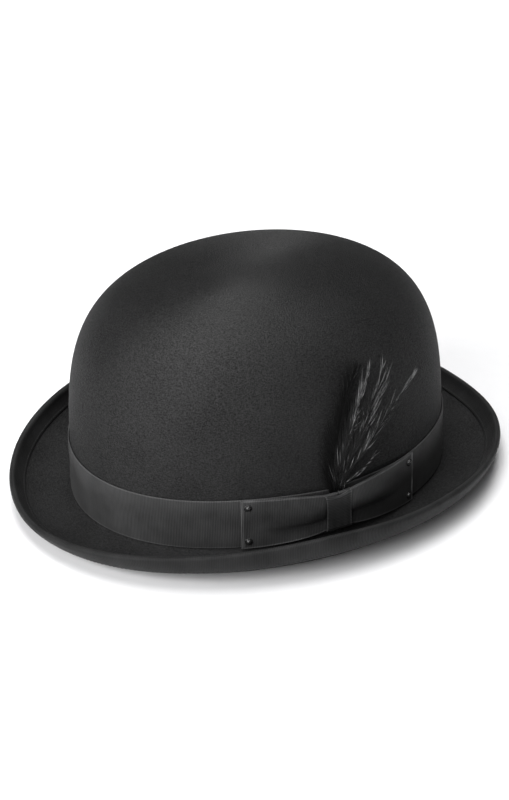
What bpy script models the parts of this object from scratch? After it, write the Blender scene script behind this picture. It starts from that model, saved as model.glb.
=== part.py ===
"""Bowler hat: a stiff felt crown and rolled brim, a ribbon band and bow, and a spray of feathers.

+Y is the back of the hat, -Y its front, +X the wearer's left and +Z up. The hat stands on its brim at z = 0.
Sizes are in millimetres and degrees, and become metres where a mesh is made.
"""

import math

import bpy

MM = 0.001

# The crown's outline at its foot, measured on the outside of the felt.
HALF_LENGTH = 103.0
HALF_WIDTH = 87.6
EGG_SHARE = 0.01  # how much the oval widens towards the back
CROWN_HEIGHT = 115.6  # from the foot to the top
CROWN_SIDE_POWER = 4.2  # higher keeps the side upright for longer
CROWN_TOP_POWER = 3.95  # higher makes the top flatter
CROWN_FLARE = 0.002
FELT = 2.2
FOOT_FILLET = 2.0

# The brim, measured along its upper face. Slopes are above level.
BRIM_WIDTH = 34.5
SADDLE = 4.0  # how much higher the sides of the foot are than its front and back
END_FOOT_SLOPE = -11.0
END_RIM_SLOPE = 60.0
SIDE_FOOT_SLOPE = -2.6
SIDE_RIM_SLOPE = 104.0
SIDE_SPREAD = 0.6  # lower spreads the side roll further round the ends
END_SOFTENING = 0.02  # keeps the rim smooth at its front and back
BRIM_TRIM = 2.4  # how much narrower the brim is cut behind the middle of each side
TRIM_FROM = 10.0  # the run from which the brim is drawn in to that
PRESSED_FLAT = 0.2  # how far the felt is flattened where the hat stands

# Ribbons, leather and satin.
RIBBON = 0.5
CLEARANCE = 0.3  # between pieces that touch
BAND_HEIGHT = 28.0
BAND_LIFT = 2.0  # from the foot to the band's lower edge
BAND_JOINT = 0.5  # between the band's two ends, behind the bow
BINDING_WIDTH = 8.5
LINING = 0.4
LINING_FOOT = 34.0
LINING_GAP = 0.4
LINING_SEAM = 0.5
SWEATBAND = 1.0
SWEATBAND_HEIGHT = 46.0
REED_RADIUS = 0.9
INNER_BOW_WIDTH = 18.0
INNER_BOW_HEIGHT = 7.0
INNER_BOW = 0.8

# The bow, along the outline from the middle of the left side; + is towards the back.
BOW_CENTRE = -4.4
FRONT_WING = 49.2  # from the bow's middle to the wing's outer end
REAR_WING = 52.5
REAR_WING_DROP = 1.2  # how far its outer end hangs below the band
KNOT_WIDTH = 13.6
KNOT_HIGH = 1.0  # how far the knot's middle is above the band's
GATHERED_HEIGHT = 20.4
PLEAT = 1.0
WING_END_GAP = 0.4
STUD_RADIUS = 2.0
STUD_HEIGHT = 1.4
STUD_GAP = 0.15  # over the swell of the wing
STUD_INSET = 3.5
STUD_EDGE = 4.0

# The feather spray.
QUILL = 0.9
QUILL_PITCH = 1.5
QUILL_SHIFT = 2.0  # the spray stands this far behind the bow's middle
QUILL_ROOT = 3.0  # above the knot's lower edge
WHIPPING = 0.3
WHIPPING_GAP = 0.2
WHIPPING_HEIGHT = 6.0
WHIPPING_LIFT = 3.0  # above the quills' roots

RING_SIDES = 48
CROWN_ROWS = 14
LINING_SEAM_ROW = 8

objects = bpy.data.collections.new("bowler_hat")
cutters = bpy.data.collections.new("cutters")


def clear_scene():
    for obj in list(bpy.data.objects):
        bpy.data.objects.remove(obj, do_unlink=True)
    for collection in (objects, cutters):
        bpy.context.scene.collection.children.link(collection)


def finish(name, color, roughness, metallic=0.0):
    """A plain material in the piece's colour."""
    material = bpy.data.materials.new(name)
    material.use_nodes = True
    shader = material.node_tree.nodes["Principled BSDF"]
    shader.inputs["Base Color"].default_value = (*color, 1.0)
    shader.inputs["Roughness"].default_value = roughness
    shader.inputs["Metallic"].default_value = metallic
    return material


def mix(a, b, share):
    return a + (b - a) * share


def smooth(share):
    share = min(max(share, 0.0), 1.0)
    return share * share * (3.0 - 2.0 * share)


def spaced(start, end, count):
    """This many numbers from start to end, both included."""
    return [mix(start, end, i / (count - 1)) for i in range(count)]


def ring_angles():
    return [2.0 * math.pi * i / RING_SIDES for i in range(RING_SIDES)]


# ---- the crown's and the brim's surfaces ----


def outline(theta, out=0.0):
    """A point of the crown's foot outline, moved out along its normal."""
    widen = 1.0 + EGG_SHARE * math.sin(theta)
    x = HALF_WIDTH * math.cos(theta) * widen
    y = HALF_LENGTH * math.sin(theta)
    along_x = -HALF_WIDTH * math.sin(theta) * widen + HALF_WIDTH * EGG_SHARE * math.cos(theta) ** 2
    along_y = HALF_LENGTH * math.cos(theta)
    length = math.hypot(along_x, along_y)
    return x + out * along_y / length, y - out * along_x / length


def theta_at(arc):
    """The outline's angle at this distance along it from the middle of the left side."""
    step = math.copysign(math.radians(0.5), arc)
    theta = travelled = 0.0
    while True:
        here, there = outline(theta), outline(theta + step)
        length = math.dist(here, there)
        if travelled + length >= abs(arc):
            return theta + step * (abs(arc) - travelled) / length
        travelled += length
        theta += step


def foot(theta):
    """Height of the corner where the crown meets the brim."""
    return SADDLE * math.cos(theta) ** 2


def crown_share(z):
    """How wide the crown is at this height, as a share of its foot."""
    rise = min(max(z / CROWN_HEIGHT, 0.0), 1.0)
    round_off = (1.0 - rise**CROWN_SIDE_POWER) ** (1.0 / CROWN_TOP_POWER)
    return round_off * (1.0 - CROWN_FLARE * rise)


def wall(theta, z, out):
    """A point level with z, this far out from the crown's side."""
    x, y = outline(theta)
    x_out, y_out = outline(theta, out)
    share = crown_share(z)
    return x * share + x_out - x, y * share + y_out - y, z


def crown_profile():
    """Heights that part the crown's side and top, front to back, into rows of equal length."""
    turns = spaced(0.0, math.pi / 2.0, 600)
    heights = [CROWN_HEIGHT * math.sin(turn) ** (2.0 / CROWN_SIDE_POWER) for turn in turns]
    points = [(HALF_LENGTH * crown_share(z), z) for z in heights]
    lengths = [0.0]
    for here, there in zip(points, points[1:]):
        lengths.append(lengths[-1] + math.dist(here, there))
    rows = []
    for i in range(CROWN_ROWS):
        wanted = lengths[-1] * i / CROWN_ROWS
        at = next(k for k, length in enumerate(lengths) if length >= wanted)
        rows.append(heights[at])
    return rows


def crown_point(theta, z, inward):
    """A point this far inside the crown's outer face, square to it."""
    small = 0.01
    x, y, _ = wall(theta, z, 0.0)
    x_up, y_up, _ = wall(theta, z + small, 0.0)
    x_on, y_on = outline(theta, 1.0)
    x_foot, y_foot = outline(theta)
    plan = (x_on - x_foot, y_on - y_foot)
    lean = -((x_up - x) * plan[0] + (y_up - y) * plan[1]) / small
    square = math.hypot(1.0, lean)
    return (
        x - inward * plan[0] / square,
        y - inward * plan[1] / square,
        z - inward * lean / square,
    )


def brim_slope(theta, run):
    least = END_SOFTENING**SIDE_SPREAD
    most = (1.0 + END_SOFTENING) ** SIDE_SPREAD
    side = ((math.cos(theta) ** 2 + END_SOFTENING) ** SIDE_SPREAD - least) / (most - least)
    start = mix(END_FOOT_SLOPE, SIDE_FOOT_SLOPE, side)
    rim = mix(END_RIM_SLOPE, SIDE_RIM_SLOPE, side)
    return math.radians(mix(start, rim, min(run / BRIM_WIDTH, 1.0) ** 2))


def brim(theta, run, lift=0.0):
    """A point this far out along the brim's upper face and this far above it."""
    trimmed = smooth((math.sin(theta) + 0.2) / 0.45) * (1.0 - smooth((math.sin(theta) - 0.75) / 0.25))
    run -= BRIM_TRIM * trimmed * smooth((run - TRIM_FROM) / (BRIM_WIDTH - TRIM_FROM))
    steps = 30
    out = up = 0.0
    for i in range(steps):
        slope = brim_slope(theta, run * (i + 0.5) / steps)
        out += math.cos(slope) * run / steps
        up += math.sin(slope) * run / steps
    slope = brim_slope(theta, run)
    out -= lift * math.sin(slope)
    up += lift * math.cos(slope)
    return (*outline(theta, out), foot(theta) + up)


def foot_height():
    """Height of the crown's foot above the table that the brim stands on."""
    lowest = min(brim(-math.pi / 2.0, run, -FELT)[2] for run in spaced(0.0, BRIM_WIDTH, 40))
    return -lowest - PRESSED_FLAT


FOOT_HEIGHT = foot_height()
CROWN_HEIGHTS = crown_profile()


# ---- making meshes ----


def sheet(name, rows, thickness, material, around=False, pole=None, centred=True):
    """A sheet through rows of points, solid to one side of them or with the points in its middle."""
    width = len(rows[0])
    points = [point for row in rows for point in row]
    steps = range(width if around else width - 1)
    faces = [
        (r * width + i, r * width + (i + 1) % width, (r + 1) * width + (i + 1) % width, (r + 1) * width + i)
        for r in range(len(rows) - 1)
        for i in steps
    ]
    if pole:
        points.append(pole)
        last = (len(rows) - 1) * width
        faces += [(last + i, last + (i + 1) % width, len(points) - 1) for i in steps]
    mesh = bpy.data.meshes.new(name)
    mesh.from_pydata([(x * MM, y * MM, (z + FOOT_HEIGHT) * MM) for x, y, z in points], [], faces)
    mesh.materials.append(material)
    mesh.shade_smooth()
    mesh.set_sharp_from_angle(angle=math.radians(40.0))
    obj = bpy.data.objects.new(name, mesh)
    objects.objects.link(obj)
    solid = obj.modifiers.new("thickness", "SOLIDIFY")
    solid.thickness = thickness * MM
    solid.offset = 0.0 if centred else -1.0
    solid.use_even_offset = True
    return obj


def table_cutter():
    """A slab whose top is the table, which flattens the felt where the hat stands."""
    depth = 10.0
    side = 2.0 * (HALF_LENGTH + 2.0 * BRIM_WIDTH)
    bpy.ops.mesh.primitive_cube_add(size=1.0, location=(0.0, 0.0, -depth / 2.0 * MM))
    slab = bpy.context.active_object
    slab.name = "table_cutter"
    slab.scale = (side * MM, side * MM, depth * MM)
    bpy.ops.object.transform_apply(location=False, rotation=False, scale=True)
    for collection in list(slab.users_collection):
        collection.objects.unlink(slab)
    cutters.objects.link(slab)
    slab.hide_render = True
    slab.display_type = "WIRE"
    return slab


# ---- felt, binding and band ----


def fillet_rows():
    """Rows that turn from the brim up into the crown's side."""
    rows = []
    for share in (0.2, 0.5, 0.8):
        row = []
        for theta in ring_angles():
            low, high = brim(theta, FOOT_FILLET), wall(theta, foot(theta) + FOOT_FILLET, 0.0)
            corner = (*outline(theta), foot(theta))
            row.append(
                tuple(mix(mix(a, c, share), mix(c, b, share), share) for a, b, c in zip(low, high, corner))
            )
        rows.append(row)
    return rows


def felt_rows():
    rows = [
        [brim(theta, run) for theta in ring_angles()]
        for run in [*spaced(BRIM_WIDTH, FOOT_FILLET, 10)]
    ]
    rows += fillet_rows()
    for z in CROWN_HEIGHTS:
        rows.append([wall(theta, max(z, foot(theta) + FOOT_FILLET), 0.0) for theta in ring_angles()])
    return rows


def make_felt():
    felt = finish("black_felt", (0.012, 0.012, 0.013), 0.9)
    body = sheet(
        "felt_body", felt_rows(), FELT, felt, around=True, pole=(0.0, 0.0, CROWN_HEIGHT), centred=False
    )
    cut = body.modifiers.new("pressed_flat", "BOOLEAN")
    cut.operation = "DIFFERENCE"
    cut.solver = "EXACT"
    cut.object = table_cutter()


def make_binding():
    """Ribbon folded over the rim, in rows from the inner edge of its upper face to that of its lower one."""
    off = CLEARANCE + RIBBON / 2.0
    bend = FELT / 2.0 + off
    inner = BRIM_WIDTH - BINDING_WIDTH
    path = [(run, off) for run in spaced(inner, BRIM_WIDTH, 4)]
    for turn in (60.0, 20.0, -20.0, -60.0):
        angle = math.radians(turn)
        path.append((BRIM_WIDTH + bend * math.cos(angle), bend * math.sin(angle) - FELT / 2.0))
    path += [(run, -FELT - off) for run in spaced(BRIM_WIDTH, inner, 4)]
    rows = [[brim(theta, run, lift) for theta in ring_angles()] for run, lift in reversed(path)]
    ribbon = finish("binding_ribbon", (0.02, 0.02, 0.021), 0.7)
    sheet("brim_binding", rows, RIBBON, ribbon, around=True)


def band_bottom(theta):
    return foot(theta) + BAND_LIFT


def make_band():
    """The hat band, whose two ends meet behind the bow's knot."""
    out = CLEARANCE + RIBBON / 2.0
    turned = math.asin(BAND_JOINT / 2.0 / HALF_WIDTH)
    angles = [turned, *ring_angles()[1:], 2.0 * math.pi - turned]
    rows = [
        [wall(theta, band_bottom(theta) + BAND_HEIGHT * share, out) for theta in angles]
        for share in (0.0, 0.5, 1.0)
    ]
    sheet("hat_band", rows, RIBBON, finish("band_ribbon", (0.017, 0.017, 0.018), 0.6))


# ---- the bow ----

BAND_FACE = CLEARANCE + RIBBON
QUILL_OUT = BAND_FACE + CLEARANCE + WHIPPING + WHIPPING_GAP + QUILL / 2.0
KNOT_BACK = QUILL_OUT + QUILL / 2.0 + WHIPPING_GAP + WHIPPING + CLEARANCE + RIBBON / 2.0
LAYER = RIBBON + CLEARANCE
KNOT_FRONT = KNOT_BACK + 3.0 * LAYER + 0.3


def knot_middle():
    return foot(theta_at(BOW_CENTRE)) + BAND_LIFT + BAND_HEIGHT / 2.0 + KNOT_HIGH


def wing_edges(theta, reach, length, drop):
    """Lower and upper edge of a wing at this distance from the bow's middle."""
    spread = min(max((reach - KNOT_WIDTH / 2.0) / (length - KNOT_WIDTH / 2.0), 0.0), 1.0)
    bottom = band_bottom(theta) - drop * spread
    low = mix(bottom, knot_middle() - GATHERED_HEIGHT / 2.0, (1.0 - spread) ** 2)
    high = mix(bottom + BAND_HEIGHT, knot_middle() + GATHERED_HEIGHT / 2.0, (1.0 - spread) ** 3)
    return low, high


def wing_out(reach, length):
    """How far the wing's back layer stands out: flat on the band at its end, over the quills at the knot."""
    flat = BAND_FACE + CLEARANCE + RIBBON / 2.0
    lifted = KNOT_BACK + LAYER + 0.1
    knot_edge = KNOT_WIDTH / 2.0 + 2.0
    return mix(lifted, flat, smooth((reach - knot_edge) / (length - knot_edge)))


def make_wing(name, side, length, drop, material):
    """One ribbon from the knot out along the band, folded and brought back in front."""
    inner = WING_END_GAP / 2.0
    bend = LAYER / 2.0
    path = [(reach, 0.0) for reach in spaced(inner, length - bend, 9)]
    for turn in (-45.0, 0.0, 45.0):
        angle = math.radians(turn)
        path.append((length - bend + bend * math.cos(angle), bend + bend * math.sin(angle)))
    path += [(reach, LAYER) for reach in spaced(length - bend, inner, 12)]
    rows = []
    for reach, layer in path:
        theta = theta_at(BOW_CENTRE + side * reach)
        low, high = wing_edges(theta, reach, length, drop)
        open_share = min(max((reach - KNOT_WIDTH / 2.0) / 20.0, 0.0), (length - reach) / 12.0, 1.0)
        swell = PLEAT * open_share if layer >= LAYER else 0.0
        rows.append(
            [
                wall(
                    theta,
                    mix(low, high, share),
                    wing_out(reach, length) + layer + swell * math.sin(2.0 * math.pi * share) ** 2,
                )
                for share in (0.0, 0.25, 0.5, 0.75, 1.0)
            ]
        )
    sheet(name, rows, RIBBON, material)


def make_knot(material):
    """The wrap round the bow's middle: a flat closed loop that the wings' gathered ends pass into."""
    half = GATHERED_HEIGHT / 2.0 + 0.4 + RIBBON / 2.0
    corner = 0.4
    upright = half - corner
    loop = [
        (KNOT_FRONT, -upright),
        (KNOT_FRONT, 0.0),
        (KNOT_FRONT, upright),
        (KNOT_FRONT - corner, half),
        (KNOT_BACK + corner, half),
        (KNOT_BACK, upright),
        (KNOT_BACK, 0.0),
        (KNOT_BACK, -upright),
        (KNOT_BACK + corner, -half),
        (KNOT_FRONT - corner, -half),
    ]
    rows = []
    for along in spaced(-KNOT_WIDTH / 2.0, KNOT_WIDTH / 2.0, 6):
        theta = theta_at(BOW_CENTRE + along)
        rows.append([wall(theta, knot_middle() + up, out) for out, up in loop])
    sheet("bow_knot", rows, RIBBON, material, around=True)


def make_studs():
    """Four domes on the wings' outer corners, numbered from the front wing's top."""
    metal = finish("stud_metal", (0.05, 0.05, 0.055), 0.25, 0.9)
    turns = spaced(math.pi / 2.0, 0.0, 6)
    profile = [(STUD_RADIUS * math.cos(turn), STUD_HEIGHT * math.sin(turn)) for turn in turns] + [(0.0, 0.0)]
    mesh = bpy.data.meshes.new("bow_stud")
    mesh.from_pydata(
        [(max(radius, 0.0) * MM, 0.0, height * MM) for radius, height in profile],
        [(i, i + 1) for i in range(len(profile) - 1)],
        [],
    )
    mesh.materials.append(metal)
    number = 0
    for side, length, drop in ((-1.0, FRONT_WING, 0.0), (1.0, REAR_WING, REAR_WING_DROP)):
        reach = length - STUD_INSET
        out = wing_out(reach, length) + LAYER + RIBBON / 2.0 + CLEARANCE + STUD_GAP
        for top in (True, False):
            number += 1
            theta = theta_at(BOW_CENTRE + side * reach)
            low, high = wing_edges(theta, reach, length, drop)
            x, y, z = wall(theta, high - STUD_EDGE if top else low + STUD_EDGE, out)
            x_on, y_on, _ = wall(theta, z, out + 1.0)
            stud = bpy.data.objects.new(f"bow_stud_{number}", mesh)
            objects.objects.link(stud)
            stud.location = (x * MM, y * MM, (z + FOOT_HEIGHT) * MM)
            stud.rotation_euler = (0.0, math.pi / 2.0, math.atan2(y_on - y, x_on - x))
            turned = stud.modifiers.new("turned", "SCREW")
            turned.axis = "Z"
            turned.steps = turned.render_steps = 14
            turned.use_merge_vertices = True
            turned.merge_threshold = 0.00001


def make_bow():
    ribbon = finish("bow_ribbon", (0.02, 0.02, 0.021), 0.6)
    make_wing("bow_wing_front", -1.0, FRONT_WING, 0.0, ribbon)
    make_wing("bow_wing_rear", 1.0, REAR_WING, REAR_WING_DROP, ribbon)
    make_knot(ribbon)
    make_studs()


# ---- the feather spray ----

# Name, then the bend and the tip as (along the outline, above the foot), how far the vane stands out
# from the crown and its half width. They stand in this order from front to back.
FEATHERS = (
    ("feather_plume", (-6.0, 78.0), (14.0, 91.0), 3.4, 6.0),
    ("feather_left", (-0.5, 70.0), (22.7, 92.0), 5.2, 4.0),
    ("feather_middle", (7.2, 69.3), (31.8, 92.0), 6.8, 4.5),
    ("feather_right", (10.3, 65.8), (48.0, 80.5), 8.4, 3.0),
    ("feather_short", (8.0, 38.0), (17.0, 45.0), 4.0, 1.4),
)


def feather_rows(slot, bend, tip, lift, half_width):
    """A quill straight up behind the knot, then a vane that curves to its tip."""
    arc = BOW_CENTRE + QUILL_SHIFT + (slot - (len(FEATHERS) - 1) / 2.0) * QUILL_PITCH
    knot_top = knot_middle() + GATHERED_HEIGHT / 2.0
    root = knot_middle() - GATHERED_HEIGHT / 2.0 + QUILL_ROOT
    bare = QUILL / 2.0
    spine = [(arc, z, QUILL_OUT, bare, 0.0, 1.0) for z in spaced(root, knot_top + 2.0, 4)]
    start = (arc, knot_top + 2.0)
    for share in spaced(0.08, 1.0, 14):
        here = [mix(mix(a, b, share), mix(b, c, share), share) for a, b, c in zip(start, bend, tip)]
        heading = [mix(b - a, c - b, share) for a, b, c in zip(start, bend, tip)]
        length = math.hypot(*heading)
        full = smooth((share - 0.2) / 0.35) * (1.0 - max(share - 0.55, 0.0) / 0.45) ** 0.7
        width = bare + (half_width - bare) * full
        out = mix(QUILL_OUT, lift, smooth(share / 0.35))
        spine.append((*here, out, width, heading[0] / length, heading[1] / length))
    rows = []
    for along, z, out, width, go_along, go_up in spine:
        row = []
        for across in (-width, 0.0, width):
            theta = theta_at(along + across * go_up)
            row.append(wall(theta, z - across * go_along, out))
        rows.append(row)
    return rows


def make_feathers():
    barbs = finish("feather_barbs", (0.02, 0.02, 0.02), 0.5)
    for slot, (name, bend, tip, lift, half_width) in enumerate(FEATHERS):
        sheet(name, feather_rows(slot, bend, tip, lift, half_width), QUILL, barbs)
    half = (len(FEATHERS) - 1) / 2.0 * QUILL_PITCH + QUILL / 2.0 + WHIPPING_GAP + WHIPPING / 2.0
    deep = QUILL / 2.0 + WHIPPING_GAP + WHIPPING / 2.0
    loop = [(-half, -deep), (0.0, -deep), (half, -deep), (half, deep), (0.0, deep), (-half, deep)]
    root = knot_middle() - GATHERED_HEIGHT / 2.0 + QUILL_ROOT + WHIPPING_LIFT
    rows = [
        [wall(theta_at(BOW_CENTRE + QUILL_SHIFT + along), z, QUILL_OUT - out) for along, out in loop]
        for z in spaced(root, root + WHIPPING_HEIGHT, 3)
    ]
    thread = finish("whipping_thread", (0.015, 0.015, 0.015), 0.8)
    sheet("feather_tie", rows, WHIPPING, thread, around=True)


# ---- inside the crown ----

LINING_IN = FELT + LINING_GAP + LINING / 2.0
SWEATBAND_IN = LINING_IN + LINING / 2.0 + LINING_GAP + SWEATBAND / 2.0


def make_lining():
    satin = finish("lining_satin", (0.03, 0.03, 0.032), 0.35)
    seam = CROWN_HEIGHTS[LINING_SEAM_ROW]
    heights = [LINING_FOOT] + [z for z in CROWN_HEIGHTS if LINING_FOOT + 2.0 < z <= seam]
    rows = [[crown_point(theta, z, LINING_IN) for theta in ring_angles()] for z in heights]
    sheet("lining_wall", rows, LINING, satin, around=True)
    above = seam + LINING_SEAM
    heights = [above] + [z for z in CROWN_HEIGHTS if z > above]
    rows = [[crown_point(theta, z, LINING_IN) for theta in ring_angles()] for z in heights]
    top = (0.0, 0.0, CROWN_HEIGHT - LINING_IN)
    sheet("lining_tip", rows, LINING, satin, around=True, pole=top)


def make_sweatband():
    leather = finish("sweatband_leather", (0.02, 0.018, 0.017), 0.5)
    lift = REED_RADIUS + CLEARANCE
    rows = []
    for share in (0.0, 0.5, 0.8, 1.0):
        rows.append(
            [
                wall(theta, mix(foot(theta) - FOOT_FILLET / 2.0 + lift, SWEATBAND_HEIGHT, share), -SWEATBAND_IN)
                for theta in ring_angles()
            ]
        )
    sheet("sweatband", rows, SWEATBAND, leather, around=True)

    curve = bpy.data.curves.new("sweatband_reed", "CURVE")
    curve.dimensions = "3D"
    curve.bevel_depth = REED_RADIUS * MM
    curve.bevel_resolution = 1
    spline = curve.splines.new("POLY")
    spline.points.add(RING_SIDES - 1)
    spline.use_cyclic_u = True
    for theta, point in zip(ring_angles(), spline.points):
        x, y, z = wall(theta, foot(theta) - FOOT_FILLET / 2.0, -SWEATBAND_IN)
        point.co = (x * MM, y * MM, (z + FOOT_HEIGHT) * MM, 1.0)
    curve.materials.append(leather)
    objects.objects.link(bpy.data.objects.new("sweatband_reed", curve))

    middle = mix(foot(math.pi / 2.0), SWEATBAND_HEIGHT, 0.5)
    inward = SWEATBAND_IN + SWEATBAND / 2.0 + CLEARANCE + INNER_BOW / 2.0
    rows = []
    for along in spaced(-1.0, 1.0, 9):
        half = INNER_BOW_HEIGHT / 2.0 * mix(0.45, 1.0, abs(along) ** 0.8)
        theta = math.pi / 2.0 - along * INNER_BOW_WIDTH / 2.0 / HALF_WIDTH
        rows.append([wall(theta, middle + half * up, -inward) for up in (-1.0, 0.0, 1.0)])
    ribbon = finish("inner_bow_ribbon", (0.02, 0.02, 0.021), 0.6)
    sheet("sweatband_bow", rows, INNER_BOW, ribbon)


clear_scene()
make_felt()
make_binding()
make_band()
make_bow()
make_feathers()
make_lining()
make_sweatband()
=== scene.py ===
"""The looks of a black felt bowler hat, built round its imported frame: one section for each piece as it is made.

The frame's +Y is the back of the hat, +X the wearer's left, where the bow is. Every size is in metres.
"""

import math

import bpy
import numpy as np
from mathutils import Matrix, Vector


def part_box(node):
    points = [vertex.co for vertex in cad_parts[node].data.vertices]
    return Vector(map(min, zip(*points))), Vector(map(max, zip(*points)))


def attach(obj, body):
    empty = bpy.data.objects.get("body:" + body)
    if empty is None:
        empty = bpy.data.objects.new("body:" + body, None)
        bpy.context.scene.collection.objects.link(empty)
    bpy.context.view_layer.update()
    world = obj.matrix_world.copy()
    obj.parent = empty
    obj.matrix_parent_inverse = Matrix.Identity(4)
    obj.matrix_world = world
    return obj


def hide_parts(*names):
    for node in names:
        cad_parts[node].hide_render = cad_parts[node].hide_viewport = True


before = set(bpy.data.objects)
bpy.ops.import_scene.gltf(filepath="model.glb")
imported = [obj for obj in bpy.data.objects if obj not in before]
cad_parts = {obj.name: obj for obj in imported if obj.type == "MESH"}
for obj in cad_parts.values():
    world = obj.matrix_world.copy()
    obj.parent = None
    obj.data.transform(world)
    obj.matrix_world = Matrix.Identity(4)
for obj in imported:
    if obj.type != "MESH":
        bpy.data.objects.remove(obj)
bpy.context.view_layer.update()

# ---- Felt body --------------------------------------------------------------------------------
# Crown and brim are one piece of fur felt, blocked hot over an oval wooden form and stiffened.
# It is dyed black and brushed round and round, so its nap lies along the hat's outline.

ribbon = 0.0005
clearance = 0.0003
band_lift = 0.002
band_low, band_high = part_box("hat_band")
half_width = -band_low.x - ribbon - clearance
half_length = band_high.y - ribbon - clearance
foot_height = band_low.z - band_lift
crown_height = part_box("felt_body")[1].z - foot_height
egg_share = 0.01
crown_side_power = 4.2
crown_top_power = 3.95
crown_flare = 0.002
felt = 0.0022
foot_fillet = 0.002
saddle = 0.004
brim_width = 0.0345
end_slopes = (-11.0, 60.0)  # at the foot and at the rim, in degrees above level
side_slopes = (-2.6, 104.0)
side_spread = 0.6
end_softening = 0.02
brim_trim = 0.0024  # how much narrower the brim is cut behind the middle of each side
trim_from = 0.01


def smooth(share):
    share = np.clip(share, 0.0, 1.0)
    return share * share * (3.0 - 2.0 * share)


def outline(theta, out=0.0):
    """The crown's oval at its foot, moved out along its normal."""
    widen = 1.0 + egg_share * np.sin(theta)
    x = half_width * np.cos(theta) * widen
    y = half_length * np.sin(theta)
    along_x = -half_width * np.sin(theta) * widen + half_width * egg_share * np.cos(theta) ** 2
    along_y = half_length * np.cos(theta)
    length = np.hypot(along_x, along_y)
    return x + out * along_y / length, y - out * along_x / length


def foot(theta):
    """Height of the corner where the crown meets the brim."""
    return foot_height + saddle * np.cos(theta) ** 2


def wall(theta, z, out):
    """Points on the crown's side at these heights, moved out level with the ground."""
    theta, z = np.broadcast_arrays(np.asarray(theta, float), np.asarray(z, float))
    rise = np.clip((z - foot_height) / crown_height, 0.0, 1.0)
    share = (1.0 - rise**crown_side_power) ** (1.0 / crown_top_power) * (1.0 - crown_flare * rise)
    x, y = outline(theta)
    x_out, y_out = outline(theta, out)
    return np.stack([x * share + x_out - x, y * share + y_out - y, z], -1)


def brim(theta, run, lift=0.0):
    """Points this far out along the brim's upper face and this far above it."""
    ahead = np.sin(theta)
    trimmed = smooth((ahead + 0.2) / 0.45) * (1.0 - smooth((ahead - 0.75) / 0.25))
    run = run - brim_trim * trimmed * smooth((run - trim_from) / (brim_width - trim_from))
    least = end_softening**side_spread
    most = (1.0 + end_softening) ** side_spread
    side = ((np.cos(theta) ** 2 + end_softening) ** side_spread - least) / (most - least)
    start = end_slopes[0] + (side_slopes[0] - end_slopes[0]) * side
    rim = end_slopes[1] + (side_slopes[1] - end_slopes[1]) * side

    def slope(at):
        return np.radians(start + (rim - start) * np.minimum(at / brim_width, 1.0) ** 2)

    steps = 30
    out = up = 0.0
    for i in range(steps):
        here = slope(run * (i + 0.5) / steps)
        out = out + np.cos(here) * run / steps
        up = up + np.sin(here) * run / steps
    here = slope(run)
    x, y = outline(theta, out - lift * np.sin(here))
    return np.stack([x, y, foot(theta) + up + lift * np.cos(here)], -1)


def turn(count):
    """Angles once round the hat, from the middle of its left side."""
    return np.arange(count) * 2.0 * math.pi / count


def grid(name, rows, around=False, pole=None, flip=False):
    """A mesh through rows of points, with UVs in metres: u along the rows, v from row to row."""
    rows = np.asarray(rows, float)
    count, width = rows.shape[:2]
    closed = np.concatenate([rows, rows[:, :1]], 1) if around else rows
    along = np.concatenate([[0.0], np.linalg.norm(np.diff(closed[count // 2], axis=0), axis=1).cumsum()])
    across = np.concatenate([[0.0], np.linalg.norm(np.diff(rows, axis=0), axis=2).mean(1).cumsum()])
    i, j = np.meshgrid(np.arange(count - 1), np.arange(width if around else width - 1), indexing="ij")
    corners = [(i, j), (i, j + 1), (i + 1, j + 1), (i + 1, j)]
    quads = np.stack([a * width + b % width for a, b in corners], -1).reshape(-1, 4)
    uvs = np.stack([np.stack([along[b], across[a]], -1) for a, b in corners], -2).reshape(-1, 4, 2)
    if flip:
        quads, uvs = quads[:, ::-1], uvs[:, ::-1]
    faces, loops, points = quads.tolist(), uvs.reshape(-1, 2), rows.reshape(-1, 3)
    if pole is not None:
        last = (count - 1) * width
        top = across[-1] + np.linalg.norm(rows[-1] - pole, axis=1).mean()
        faces += [[last + k, last + (k + 1) % width, len(points)] for k in range(width)]
        fan = [[(along[k], across[-1]), (along[k + 1], across[-1]), (along[k], top)] for k in range(width)]
        loops = np.concatenate([loops, np.reshape(fan, (-1, 2))])
        points = np.concatenate([points, [pole]])
    mesh = bpy.data.meshes.new(name)
    mesh.from_pydata(points.tolist(), [], faces)
    mesh.uv_layers.new(name="metres").data.foreach_set("uv", loops.astype(np.float32).ravel())
    mesh.shade_smooth()
    obj = bpy.data.objects.new(name, mesh)
    bpy.context.scene.collection.objects.link(obj)
    obj["across"] = float(across[-1])
    return obj


def thicken(obj, thickness, centred=False):
    solid = obj.modifiers.new("thickness", "SOLIDIFY")
    solid.thickness = thickness
    solid.offset = 0.0 if centred else -1.0
    solid.use_even_offset = True


def finish(name, roughness, **sockets):
    """A material with its shader's even values set: (material, node tree, shader)."""
    material = bpy.data.materials.new(name)
    material.use_nodes = True
    tree = material.node_tree
    shader = tree.nodes["Principled BSDF"]
    shader.inputs["Roughness"].default_value = roughness
    for socket, value in sockets.items():
        shader.inputs[socket.replace("_", " ")].default_value = value
    return material, tree, shader


def node(tree, kind, inputs=None, **settings):
    """A node with its settings, and its inputs set to values or linked to other nodes' outputs."""
    made = tree.nodes.new(kind)
    for setting, value in settings.items():
        setattr(made, setting, value)
    for key, value in (inputs or {}).items():
        if isinstance(value, bpy.types.NodeSocket):
            tree.links.new(value, made.inputs[key])
        else:
            made.inputs[key].default_value = value
    return made


def maths(tree, operation, *values):
    """The output of a Math node over values or outputs."""
    return node(tree, "ShaderNodeMath", dict(enumerate(values)), operation=operation).outputs[0]


def gray(value):
    return (value, value, value * 1.01, 1.0)


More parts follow.
